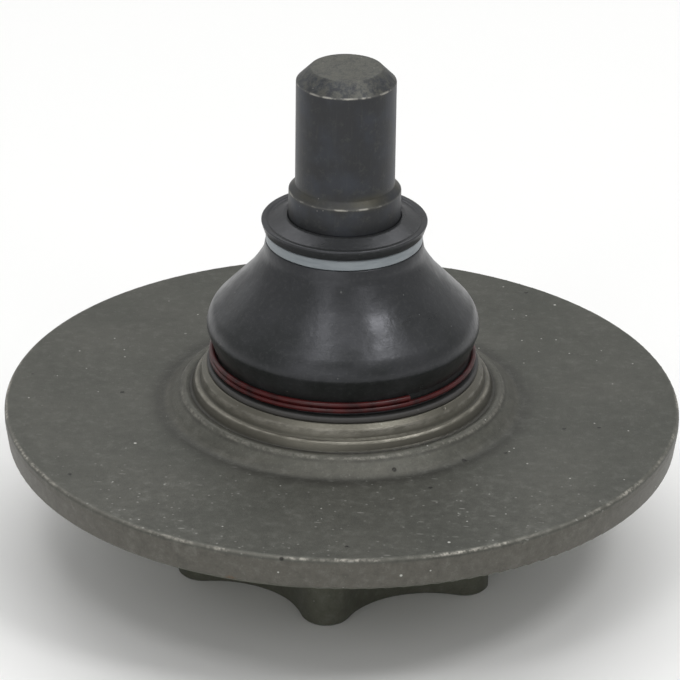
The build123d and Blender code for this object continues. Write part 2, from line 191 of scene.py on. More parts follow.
class Paint:
    """Material in the making: its nodes, their links and the patterns built from them."""

    def __init__(self, name: str) -> None:
        """Starts a material with a Principled shader and coordinates in millimetres.

        Args:
            name: The material's name.
        """
        self.material = bpy.data.materials.new(name)
        self.material.use_nodes = True
        self.tree = self.material.node_tree
        self.tree.nodes.clear()
        self.shader = self.add("ShaderNodeBsdfPrincipled")
        self.add("ShaderNodeOutputMaterial", inputs={"Surface": self.shader.outputs[0]})
        metres = self.add("ShaderNodeTexCoord").outputs["Object"]
        self.place = self.vector(Maths.SCALE, metres, Scale=1 / MM)
        flat = self.vector(Maths.MULTIPLY, self.place, (1, 1, 0))
        self.outward = self.vector(Maths.NORMALIZE, flat)
        parts = self.add("ShaderNodeSeparateXYZ", inputs={0: self.place})
        self.depth = Num(self, parts.outputs["Y"])
        self.height = Num(self, parts.outputs["Z"])
        length = self.add("ShaderNodeVectorMath", {"operation": Maths.LENGTH.value}, {0: flat})
        self.radius = Num(self, length.outputs["Value"])

    def add(
        self,
        kind: str,
        settings: Optional[dict[str, Any]] = None,
        inputs: Optional[dict[Any, Any]] = None,
    ) -> bpy.types.Node:
        """Adds a node of any type.

        Args:
            kind: The node's type.
            settings: Its properties, which are set first.
            inputs: Values, sockets or wrapped numbers by input name or index.

        Returns:
            The node.
        """
        node = self.tree.nodes.new(kind)
        for name, value in (settings or {}).items():
            setattr(node, name, value)
        for name, value in (inputs or {}).items():
            self.feed(node.inputs[name], value)
        return node

    def feed(self, socket: bpy.types.NodeSocket, value: Any) -> None:
        """Links or sets one input.

        Args:
            socket: The input.
            value: Socket, wrapped number or plain value.
        """
        source = value.socket if isinstance(value, Num) else value
        if isinstance(source, bpy.types.NodeSocket):
            self.tree.links.new(source, socket)
        else:
            socket.default_value = source

    def vector(self, operation: Maths, *values: Any, **named: Any) -> bpy.types.NodeSocket:
        """Adds a Vector Math node.

        Args:
            operation: The node's operation.
            *values: Its first inputs, in order.
            **named: Inputs by name.

        Returns:
            The resulting vector.
        """
        inputs: dict[Any, Any] = {**dict(enumerate(values)), **named}
        settings = {"operation": operation.value}
        return self.add("ShaderNodeVectorMath", settings, inputs).outputs[0]

    def stretched(self, x: float, y: float, z: float) -> bpy.types.NodeSocket:
        """Coordinates that make a pattern longer along an axis whose factor is under 1.

        Args:
            x: Factor along X.
            y: Factor along Y.
            z: Factor along Z.

        Returns:
            The scaled place.
        """
        return self.vector(Maths.MULTIPLY, self.place, (x, y, z))

    def mix(self, first: Any, second: Any, share: Any) -> bpy.types.NodeSocket:
        """Mixes two colours.

        Args:
            first: Colour where the share is 0.
            second: Colour where the share is 1.
            share: Mask or number.

        Returns:
            The mixed colour.
        """
        inputs = {0: share, 6: first, 7: second}
        return self.add("ShaderNodeMix", {"data_type": "RGBA"}, inputs).outputs[2]

    def noise(self, size: float, detail: float = 2, rough: float = 0.5, at: Any = None) -> Num:
        """Smooth noise between 0 and 1.

        Args:
            size: Width of its features in millimetres.
            detail: Number of finer layers.
            rough: Strength of the finer layers.
            at: Vector to read it at, the place by default.

        Returns:
            The noise.
        """
        node = self.add(
            "ShaderNodeTexNoise",
            inputs={"Vector": at or self.place, "Scale": 1 / size, "Detail": detail,
                    "Roughness": rough},
        )
        return Num(self, node.outputs[0])

    def specks(self, spacing: float, size: float, share: float, at: Any = None) -> Num:
        """Scattered round specks.

        Args:
            spacing: Distance between places where a speck may be.
            size: Radius of the largest.
            share: Share of those places that have one.
            at: Vector to read them at, the place by default.

        Returns:
            Mask, 1 inside the specks.
        """
        inputs = {"Vector": at or self.place, "Scale": 1 / spacing}
        cells = self.add("ShaderNodeTexVoronoi", inputs=inputs)
        draw = self.add("ShaderNodeSeparateColor", inputs={0: cells.outputs["Color"]})
        chosen = Num(self, draw.outputs[0]).rise(share, share * 0.95)
        reach = size / spacing
        return Num(self, cells.outputs["Distance"]).rise(reach, reach / 2) * chosen

    def turning(self, pitch: float, around: float = 4.0) -> bpy.types.NodeSocket:
        """Coordinates for lines that run round the axis, as a lathe tool leaves them.

        Args:
            pitch: Width of the lines in millimetres.
            around: Changes met in a turn.

        Returns:
            Vector to read a noise of size 1 at.
        """
        inputs = {0: self.radius * (1 / pitch), 2: self.height * (1 / pitch)}
        across = self.add("ShaderNodeCombineXYZ", inputs=inputs).outputs[0]
        along = self.vector(Maths.SCALE, self.outward, Scale=around)
        return self.vector(Maths.ADD, across, along)

    def bump(self, height: Num, depth: float) -> None:
        """Raises the surface, on top of the bumps set before.

        Args:
            height: Height between 0 and 1.
            depth: Height difference in millimetres.
        """
        before = self.shader.inputs["Normal"].links
        inputs: dict[Any, Any] = {"Height": height, "Distance": depth * MM}
        if before:
            inputs["Normal"] = before[0].from_socket
        node = self.add("ShaderNodeBump", inputs=inputs)
        self.feed(self.shader.inputs["Normal"], node.outputs[0])

    def finish(self, **sockets: Any) -> bpy.types.Material:
        """Sets the shader's sockets, with underscores for spaces.

        Args:
            **sockets: Values, sockets or wrapped numbers.

        Returns:
            The finished material.
        """
        for name, value in sockets.items():
            self.feed(self.shader.inputs[name.replace("_", " ")], value)
        return self.material


# ---- Finishes ----------------------------------------------------------------
@dataclass(frozen=True)
class ForgingMasks:
    """Regions of the forging and patterns on it, shared by the steps of its finish."""

    above: Num
    below: Num
    rim: Num
    boss: Num
    hub: Num
    forged: Num
    near_dust_and_reflection: Num
    cloud: Num
    grain: Num
    streak: Num
    lines: Num


@dataclass(frozen=True)
class HousingSteel:
    """Oiled forging: matt flange and barrel, satin turned hub, bright edges that are partly rubbed
    bare and partly painted highlight, and painted shade round the boss and in the hub's inner
    angles.

    The hub's radii go from the flange inwards. The underside is painted lighter, as painted light
    from below. From front_start to front_end along Y, towards the flange's near side, there are
    more dust flecks and more dark blotches, the dark ones a painted reflection of the boot.
    """

    flange_top: float
    flange_foot: float
    flange_r: float
    boss_r: float = 36.6
    crest_r: float = 33.4
    step_r: float = 30.9
    ledge_r: float = 29.9
    cove_r: float = 29.25
    bevel_r: float = 28.75
    front_start: float = -24.0
    front_end: float = -42.0
    name: str = "housing_steel"
    matt: Colour = linear(84, 84, 78)
    matt_dark: Colour = linear(72, 73, 67)
    rim: Colour = linear(92, 89, 82)
    # Painted light: the underside and barrel are made lighter than the top, standing in for light
    # from below.
    under: Colour = linear(90, 91, 80)
    turned: Colour = linear(116, 113, 103)
    # Dark colour of painted shade: round the boss's foot, in the hub's inner angles and beside the
    # crest.
    painted_shade: Colour = linear(46, 45, 41)
    worn_and_highlight: Colour = linear(190, 186, 176)
    dust: Colour = linear(186, 186, 180)
    pit: Colour = linear(30, 29, 27)
    rust: Colour = linear(104, 76, 48)

    def masks(self, paint: Paint) -> ForgingMasks:
        """Tells the forging's regions apart and draws its patterns.

        Args:
            paint: Material in the making.

        Returns:
            Regions and patterns.
        """
        radius, height = paint.radius, paint.height
        above = height.rise(self.flange_top - 1.2, self.flange_top - 0.5)
        below = height.rise(self.flange_foot + 0.8, self.flange_foot + 0.2)
        hub = radius.rise(self.step_r + 0.2, self.step_r - 0.3) * above
        # Patches towards the near side: more dust flecks, and more dark blotches as a painted
        # reflection of the boot.
        near_side = paint.depth.rise(self.front_start, self.front_end)
        return ForgingMasks(
            above=above,
            below=below,
            rim=(1 - above) * (1 - below),
            boss=radius.rise(self.boss_r + 0.3, self.boss_r - 1.0) * above,
            hub=hub,
            forged=1 - hub,
            near_dust_and_reflection=near_side * paint.noise(size=14, detail=3, rough=0.6).rise(0.3, 0.6),
            cloud=paint.noise(size=26, detail=3),
            grain=paint.noise(size=0.35, detail=3, rough=0.7),
            streak=paint.noise(size=1, detail=4, rough=0.65, at=paint.turning(pitch=1.6, around=9)),
            lines=paint.noise(size=1, detail=2, rough=0.6, at=paint.turning(pitch=0.22, around=6)),
        )

    def plain(self, paint: Paint, on: ForgingMasks) -> bpy.types.NodeSocket:
        """Clean metal, with painted shade in a ring round the boss's foot and painted light on the
        underside.

        Args:
            paint: Material in the making.
            on: Regions and patterns.

        Returns:
            Its colour.
        """
        colour = paint.mix(self.matt_dark, self.matt, on.cloud.rise(0.25, 0.75))
        colour = paint.mix(colour, self.rim, on.rim * 0.7)
        # Painted shade: a dark ring round the foot of the boss, where the disc meets it.
        boss_shade_ring = paint.radius.near(self.boss_r + 0.7, 3.2) * on.above
        colour = paint.mix(colour, self.painted_shade, boss_shade_ring * 0.5)
        brushed = on.streak.rise(0.25, 0.8) * 0.22 + 0.08
        colour = paint.mix(colour, self.turned, on.boss * brushed)
        # Painted light on the underside.
        colour = paint.mix(colour, self.under, on.below)
        return paint.mix(colour, self.turned, on.hub * (0.55 + 0.25 * on.lines))

    def hub_rings(self, paint: Paint, on: ForgingMasks, colour: Any) -> bpy.types.NodeSocket:
        """Painted shade in the inner angles of the turned hub, and bright edges, partly rubbed bare
        and partly painted highlight.

        Args:
            paint: Material in the making.
            on: Regions and patterns.
            colour: Colour so far.

        Returns:
            Colour with the rings.
        """
        radius = paint.radius
        # Painted shade at the foot of the step and in the cove.
        corners = radius.near(self.step_r + 0.1, 0.9) | (radius.near(self.cove_r, 0.3) * 0.6)
        colour = paint.mix(colour, self.painted_shade, corners * on.above * 0.8)
        # Bright edge lines: partly rubbed bare metal, partly painted highlight where the rounded
        # edges catch the lamps.
        edges = radius.near(self.ledge_r, 0.4) | radius.near(self.bevel_r, 0.35)
        rubbed = on.streak.rise(0.3, 0.75) * 0.4
        return paint.mix(colour, self.worn_and_highlight, edges * on.above * rubbed)

    def scale(self, paint: Paint, on: ForgingMasks, colour: Any) -> bpy.types.NodeSocket:
        """Dark and pale blotches and grain that forging leaves, with more blotches on the near
        side, where the dark ones are a painted reflection of the boot.

        Args:
            paint: Material in the making.
            on: Regions and patterns.
            colour: Colour so far.

        Returns:
            Colour with the blotches.
        """
        mottle = paint.noise(size=2.3, detail=4, rough=0.72)
        # The extra dark blotches on the near side are a painted reflection of the boot.
        dark = mottle.rise(0.52, 0.3) * (0.15 + 0.09 * on.near_dust_and_reflection)
        pale = mottle.rise(0.5, 0.7) * (0.05 + 0.03 * on.near_dust_and_reflection)
        colour = paint.mix(colour, self.pit, dark * on.forged)
        colour = paint.mix(colour, self.dust, pale * on.forged)
        colour = paint.mix(colour, self.pit, on.grain.rise(0.44, 0.30) * on.forged * 0.24)
        return paint.mix(colour, self.dust, on.grain.rise(0.60, 0.74) * on.forged * 0.13)

    def wear(self, paint: Paint, on: ForgingMasks) -> tuple[Num, Num]:
        """Bright lines at the rim's upper edge and on the boss's crest, partly wear and partly
        painted highlight.

        Args:
            paint: Material in the making.
            on: Regions and patterns.

        Returns:
            Mask of the painted shade line beside the crest, and mask of the bright metal, partly
            rubbed bare and partly painted highlight.
        """
        radius, height = paint.radius, paint.height
        # Rim edge line: partly rubbed bare, partly painted highlight on the rounded edge.
        edge = radius.near(self.flange_r - 0.3, 0.6) * height.near(self.flange_top - 0.25, 0.5)
        broken = paint.noise(size=9, detail=3, rough=0.6).rise(0.42, 0.62)
        chips = paint.noise(size=0.9, detail=3, rough=0.7).rise(0.38, 0.62)
        patches = paint.noise(size=7, detail=3, rough=0.7).rise(0.36, 0.56) * on.above
        # Painted shade: a dark line beside the crest.
        crease_shade = radius.near(self.crest_r, 0.5) * patches
        # Bright flecks on the crest: partly chipped metal, partly painted highlight.
        crest = radius.near(self.crest_r - 0.45, 0.45) * patches
        bare = (edge * (0.13 + 0.75 * broken * chips)) | (crest * chips * 0.26)
        return crease_shade, bare

    def dirt(self, paint: Paint, on: ForgingMasks, pits: Num, colour: Any) -> bpy.types.NodeSocket:
        """Pits, flecks, dust and rust.

        Args:
            paint: Material in the making.
            on: Regions and patterns.
            pits: Mask of the pits.
            colour: Colour so far.

        Returns:
            Colour with the dirt.
        """
        colour = paint.mix(colour, self.pit, pits * on.forged * 0.8)
        scratches = paint.specks(spacing=2.0, size=0.28, share=0.5, at=paint.stretched(0.3, 1, 1))
        flecks = paint.specks(spacing=1.5, size=0.3, share=0.5) | scratches
        outer = paint.radius.rise(self.boss_r - 2, self.boss_r + 2) * on.above
        colour = paint.mix(colour, self.dust, flecks * outer * (0.06 + 0.26 * on.near_dust_and_reflection))
        fine = paint.specks(spacing=3.2, size=0.24, share=0.5) * 0.8
        dust = paint.specks(spacing=8, size=0.38, share=0.55) | fine
        colour = paint.mix(colour, self.dust, dust * (1 - 0.8 * on.hub))
        rust = paint.specks(spacing=17, size=1.5, share=0.25) * on.rim
        return paint.mix(colour, self.rust, rust * on.grain.rise(0.4, 0.6))

    def material(self) -> bpy.types.Material:
        """Builds the material.

        Returns:
            The housing's finish.
        """
        paint = Paint(self.name)
        on = self.masks(paint)
        crease_shade, bare = self.wear(paint, on)
        pits = paint.specks(spacing=6.5, size=0.55, share=0.55)

        colour = self.hub_rings(paint, on, self.plain(paint, on))
        colour = self.scale(paint, on, colour)
        # Painted shade line beside the crest, then bright metal that is partly wear and partly
        # painted highlight.
        colour = paint.mix(colour, self.painted_shade, crease_shade * 0.5)
        colour = paint.mix(colour, self.worn_and_highlight, bare)
        colour = self.dirt(paint, on, pits, colour)

        paint.bump(on.grain, depth=0.05)
        paint.bump(paint.noise(size=2.4, detail=3), depth=0.05)
        paint.bump(on.lines * on.hub, depth=0.006)
        paint.bump(1 - pits, depth=0.12)
        metal = 0.45 + 0.4 * (on.hub | bare)
        uneven = 0.12 * (on.cloud - 0.5) + 0.08 * (on.lines - 0.5) * on.hub
        rough = (0.50 - 0.11 * on.hub) + uneven
        return paint.finish(Base_Color=colour, Metallic=metal, Roughness=rough)


@dataclass(frozen=True)
class StudSteel:
    """Dark phosphate on the pin and collar, bright edges that are partly rubbed bare and partly
    painted glints, polished ball.

    The chamfer is at the pin's end, and the bevel lies between the collar and the pin.
    """

    pin_top: float
    collar_top: float
    ball_z: float = 28.0
    ball_r: float = 17.0
    collar_r: float = 11.3
    pin_r: float = 10.0
    chamfer: float = 2.8
    name: str = "stud_steel"
    dark: Colour = linear(52, 53, 55)
    blue: Colour = linear(60, 63, 69)
    olive: Colour = linear(74, 71, 57)
    top: Colour = linear(96, 96, 88)
    worn_and_highlight: Colour = linear(205, 202, 192)
    polished: Colour = linear(170, 170, 168)

    def phosphate(self, paint: Paint, grain: Num, upright: Num) -> bpy.types.NodeSocket:
        """Dark coat, olive on the bevel and rubbed grey at the pin's end.

        Args:
            paint: Material in the making.
            grain: Fine pattern.
            upright: Pattern of streaks along the pin.

        Returns:
            Its colour.
        """
        radius, height = paint.radius, paint.height
        mottle = paint.noise(size=1.6, detail=4, rough=0.75)
        colour = paint.mix(self.dark, self.blue, paint.noise(size=6, detail=3).rise(0.35, 0.7))
        elsewhere = paint.vector(Maths.ADD, paint.place, (31, 7, 3))
        patch = paint.noise(size=9, detail=2, rough=0.4, at=elsewhere).rise(0.3, 0.7)
        bevel = height.near(self.collar_top + 1.0, 2.2)
        colour = paint.mix(colour, self.olive, bevel * patch * 0.7)

        chamfer_z = self.pin_top - self.chamfer
        face_r = self.pin_r - self.chamfer
        cap = height.rise(chamfer_z - 0.1, chamfer_z + 0.3)
        face = radius.rise(face_r + 0.8, face_r - 0.8) * cap
        colour = paint.mix(colour, self.top, cap * (0.06 + 0.5 * mottle.rise(0.4, 0.62)))
        colour = paint.mix(colour, self.top, face * (0.35 + 0.65 * grain.rise(0.35, 0.65)))
        colour = paint.mix(colour, self.dark, cap * mottle.rise(0.48, 0.34) * 0.5)
        colour = paint.mix(colour, self.dark, grain.rise(0.46, 0.3) * 0.4)
        colour = paint.mix(colour, self.top, mottle.rise(0.52, 0.7) * 0.18)
        colour = paint.mix(colour, self.top, upright.rise(0.54, 0.74) * 0.1)
        specks = paint.specks(spacing=1.7, size=0.17, share=0.5)
        flecks = specks * (cap | height.near(self.collar_top + 0.4, 2.4))
        return paint.mix(colour, self.worn_and_highlight, flecks * 0.4)

    def wear_and_glints(self, paint: Paint) -> Num:
        """Bright edges of the pin's end and of the collar: partly rubbed bare, partly painted
        glints.

        Args:
            paint: Material in the making.

        Returns:
            Mask of the bright metal, partly wear and partly painted glints.
        """
        radius, height = paint.radius, paint.height
        broken = paint.noise(size=3.4, detail=3, rough=0.6).rise(0.5, 0.64)
        pin = height.near(self.pin_top - self.chamfer, 0.28) * radius.near(self.pin_r, 0.6)
        collar = height.near(self.collar_top, 0.28) * radius.near(self.collar_r, 0.6)
        return (pin | (collar * 0.8)) * (0.14 + 0.8 * broken)

    def material(self) -> bpy.types.Material:
        """Builds the material.

        Returns:
            The stud's finish.
        """
        paint = Paint(self.name)
        cloud = paint.noise(size=6, detail=3)
        grain = paint.noise(size=0.3, detail=3, rough=0.7)
        upright = paint.noise(size=1, detail=3, rough=0.6, at=paint.stretched(1.6, 1.6, 0.12))
        bare = self.wear_and_glints(paint)
        below = self.ball_z + self.ball_r - 0.5
        polished = paint.height.rise(below, below - 1.5)

        colour = self.phosphate(paint, grain, upright)
        # Bright edges: partly rubbed bare metal, partly painted glints from the lamps.
        colour = paint.mix(colour, self.worn_and_highlight, bare * (0.5 + 0.5 * grain))
        colour = paint.mix(colour, self.polished, polished)

        paint.bump(grain * (1 - polished), depth=0.02)
        paint.bump(upright, depth=0.015)
        metal = 0.55 + 0.4 * (polished | bare)
        rough = 0.46 - 0.3 * polished + 0.16 * (cloud - 0.5) + 0.1 * (upright - 0.5)
        return paint.finish(Base_Color=colour, Metallic=metal, Roughness=rough)


@dataclass(frozen=True)
class BootRubber:
    """Satin black rubber with fine scuffs round it, a little dust and a dusty bead.

    The rubber is painted lighter from lit_flank_low to lit_flank_high, a painted light on the upper
    slope, and is dustier from lip_low upwards. These heights are above the bead.
    """

    bead_top: float
    lit_flank_low: float = 12.0
    lit_flank_high: float = 19.0
    lip_low: float = 28.0
    lip_high: float = 30.0
    name: str = "boot_rubber"
    black: Colour = linear(30, 32, 31)
    # Lighter rubber, used for random patches and for the painted light on the upper slope.
    faded_and_lit: Colour = linear(44, 45, 46)
    dust: Colour = linear(112, 114, 112)
    grime: Colour = linear(88, 85, 80)
    tint: Colour = linear(243, 244, 253)

    def dusting(self, paint: Paint, above_bead: Num) -> Num:
        """Dust and short nicks.

        Args:
            paint: Material in the making.
            above_bead: Height above the bead.

        Returns:
            Their mask.
        """
        nicks = paint.specks(spacing=5, size=0.24, share=0.5, at=paint.stretched(0.22, 1, 1))
        fine = paint.specks(spacing=3.2, size=0.18, share=0.5)
        coarse = paint.specks(spacing=5.5, size=0.3, share=0.4)
        on_lip = paint.specks(spacing=1.3, size=0.16, share=0.5)
        lip = above_bead.rise(self.lip_low, self.lip_high)
        return (fine * 0.6) | (coarse * 0.5) | (on_lip * lip * 0.35) | (nicks * 0.5)

    def material(self) -> bpy.types.Material:
        """Builds the material.

        Returns:
            The boot's finish.
        """
        paint = Paint(self.name)
        above_bead = paint.height - self.bead_top
        cloud = paint.noise(size=8, detail=3)
        film = paint.noise(size=0.9, detail=4, rough=0.8)
        grain = paint.noise(size=0.5, detail=2, rough=0.6)
        scuff = paint.noise(size=1, detail=3, rough=0.7, at=paint.turning(pitch=0.45, around=7))
        wipe = paint.noise(size=1, detail=3, rough=0.6, at=paint.turning(pitch=2.5, around=5))
        streaks = scuff.rise(0.6, 0.78) * wipe.rise(0.48, 0.66)
        bead = above_bead.rise(0.1, -0.2)

        colour = paint.mix(self.black, self.faded_and_lit, cloud.rise(0.35, 0.75))
        # Painted light: the upper slope of the boot is made lighter.
        lit_flank = above_bead.rise(self.lit_flank_low, self.lit_flank_high)
        colour = paint.mix(colour, self.faded_and_lit, lit_flank * 0.6)
        colour = paint.mix(colour, self.dust, streaks * 0.14)
        colour = paint.mix(colour, self.dust, film.rise(0.48, 0.72) * 0.10)
        colour = paint.mix(colour, self.dust, self.dusting(paint, above_bead))
        colour = paint.mix(colour, self.grime, bead * (0.35 + 0.3 * wipe))

        paint.bump(grain, depth=0.012)
        paint.bump(scuff, depth=0.012)
        paint.bump(paint.noise(size=5, detail=3), depth=0.16)
        uneven = 0.2 * (cloud - 0.5) + 0.2 * (wipe - 0.5)
        rough = 0.33 + uneven + 0.12 * streaks + 0.3 * bead
        return paint.finish(Base_Color=colour, Roughness=rough, Specular_Tint=self.tint)


@dataclass(frozen=True)
class MouldedPlastic:
    """Smooth moulded plastic with faint flow marks."""

    name: str
    colour: Colour
    shaded: Colour

    def material(self) -> bpy.types.Material:
        """Builds the material.

        Returns:
            The plastic's finish.
        """
        paint = Paint(self.name)
        flow = paint.noise(size=1, detail=2, at=paint.turning(pitch=1.2, around=3))
        colour = paint.mix(self.shaded, self.colour, flow.rise(0.2, 0.6))
        specks = paint.specks(spacing=2.5, size=0.12, share=0.3)
        colour = paint.mix(colour, self.shaded, specks)
        paint.bump(flow, depth=0.01)
        rough = 0.42 + 0.12 * (flow - 0.5)
        return paint.finish(Base_Color=colour, Roughness=rough)


@dataclass(frozen=True)
class WireLacquer:
    """Dark red lacquer on spring wire, rubbed thin in places."""

    name: str = "wire_lacquer"
    red: Colour = linear(72, 16, 17)
    dark: Colour = linear(46, 12, 13)
    bare: Colour = linear(120, 108, 100)

    def material(self) -> bpy.types.Material:
        """Builds the material.

        Returns:
            The wire's finish.
        """
        paint = Paint(self.name)
        cloud = paint.noise(size=3, detail=3)
        colour = paint.mix(self.dark, self.red, cloud.rise(0.3, 0.65))
        chips = paint.specks(spacing=2.6, size=0.22, share=0.16)
        colour = paint.mix(colour, self.bare, chips * 0.7)
        paint.bump(paint.noise(size=0.4, detail=2), depth=0.008)
        rough = 0.34 + 0.15 * (cloud - 0.5)
        return paint.finish(Base_Color=colour, Roughness=rough, Specular_IOR_Level=0.4)


@dataclass(frozen=True)
class PressedSteel:
    """Oiled sheet or spring steel with rolling marks."""

    name: str
    light: Colour
    dark: Colour
    shine: float

    def material(self) -> bpy.types.Material:
        """Builds the material.

        Returns:
            The sheet's finish.
        """
        paint = Paint(self.name)
        lines = paint.noise(size=1, detail=3, rough=0.6, at=paint.turning(pitch=0.3, around=5))
        cloud = paint.noise(size=5, detail=3)
        colour = paint.mix(self.dark, self.light, cloud.rise(0.3, 0.7))
        colour = paint.mix(colour, self.dark, lines.rise(0.45, 0.3) * 0.3)
        paint.bump(lines, depth=0.01)
        rough = self.shine + 0.2 * (cloud - 0.5)
        return paint.finish(Base_Color=colour, Metallic=0.85, Roughness=rough)


@dataclass(frozen=True)
class StudioGround:
    """Plain pale floor."""

    name: str = "studio_ground"
    pale: Colour = linear(244, 244, 243)

    def material(self) -> bpy.types.Material:
        """Builds the material.

        Returns:
            The floor's finish.
        """
        paint = Paint(self.name)
        return paint.finish(Base_Color=self.pale, Roughness=0.8, Specular_IOR_Level=0.2)


# ---- Sub-assemblies ----------------------------------------------------------
@dataclass
class Dressed:
    """Sub-assembly of CAD nodes that keep their shapes and get a finish."""

    nodes: dict[str, bpy.types.Object]

    def dress(self, node: str, material: bpy.types.Material) -> bpy.types.Object:
        """Gives a CAD node its finish.

        Args:
            node: The node's name.
            material: Its finish.

        Returns:
            The node's piece.
        """
        piece = self.nodes[node]
        for place in piece.material_slots:
            place.material = material
        return piece


@dataclass
class Housing(Dressed):
    """Forging with its flange, barrel and hub. The hub carries the boot."""

    hub_rise: float = 8.0
    flange_t: float = 7.0

    def flange_top(self) -> float:
        """Height of the flange's top, worked out from the boot that stands on the hub."""
        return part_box("dust_boot")[0].z / MM - self.hub_rise

    def build(self) -> list[bpy.types.Object]:
        """Finishes the forging.

        Returns:
            Its piece.
        """
        top = self.flange_top()
        flange_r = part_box("housing")[1].x / MM
        finish = HousingSteel(top, top - self.flange_t, flange_r)
        return [self.dress("housing", finish.material())]


@dataclass
class Stud(Dressed):
    """Ball stud with its neck, collar and pin. The bevel leads from the pin to the collar."""

    pin_l: float = 24.7
    bevel_h: float = 1.3

    def build(self) -> list[bpy.types.Object]:
        """Finishes the stud.

        Returns:
            Its piece.
        """
        pin_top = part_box("ball_stud")[1].z / MM
        collar_top = pin_top - self.pin_l - self.bevel_h
        return [self.dress("ball_stud", StudSteel(pin_top, collar_top).material())]


@dataclass
class Bearing(Dressed):
    """Plastic seats of the ball, the spring that loads them and the cover that closes them in."""

    plastic: MouldedPlastic = MouldedPlastic(
        "bearing_plastic", colour=linear(214, 209, 192), shaded=linear(190, 184, 166)
    )
    spring: PressedSteel = PressedSteel(
        "spring_steel", light=linear(120, 120, 122), dark=linear(76, 78, 82), shine=0.3
    )
    cover: PressedSteel = PressedSteel(
        "cover_steel", light=linear(120, 118, 112), dark=linear(102, 101, 95), shine=0.42
    )

    def build(self) -> list[bpy.types.Object]:
        """Finishes the parts inside the barrel.

        Returns:
            Their pieces.
        """
        plastic = self.plastic.material()
        return [
            self.dress("upper_bearing_shell", plastic),
            self.dress("pressure_cup", plastic),
            self.dress("preload_spring", self.spring.material()),
            self.dress("cover_plate", self.cover.material()),
        ]


@dataclass
class BootClamps(Dressed):
    """Ring at the boot's neck and wire at its foot."""

    ring: MouldedPlastic = MouldedPlastic(
        "ring_plastic", colour=linear(140, 147, 151), shaded=linear(124, 131, 136)
    )
    wire: WireLacquer = WireLacquer()

    def build(self) -> list[bpy.types.Object]:
        """Finishes both clamps.

        Returns:
            Their pieces.
        """
        return [
            self.dress("boot_neck_ring", self.ring.material()),
            self.dress("boot_clamp_wire", self.wire.material()),
        ]


@dataclass
class Corner:
    """Corner of a turned section, in millimetres.

    The height is above the boot's foot. The setback is how far the rounding reaches along each
    side, and 0 leaves the corner sharp.
    """

    radius: float
    height: float
    setback: float = 0.0
    segments: int = 3


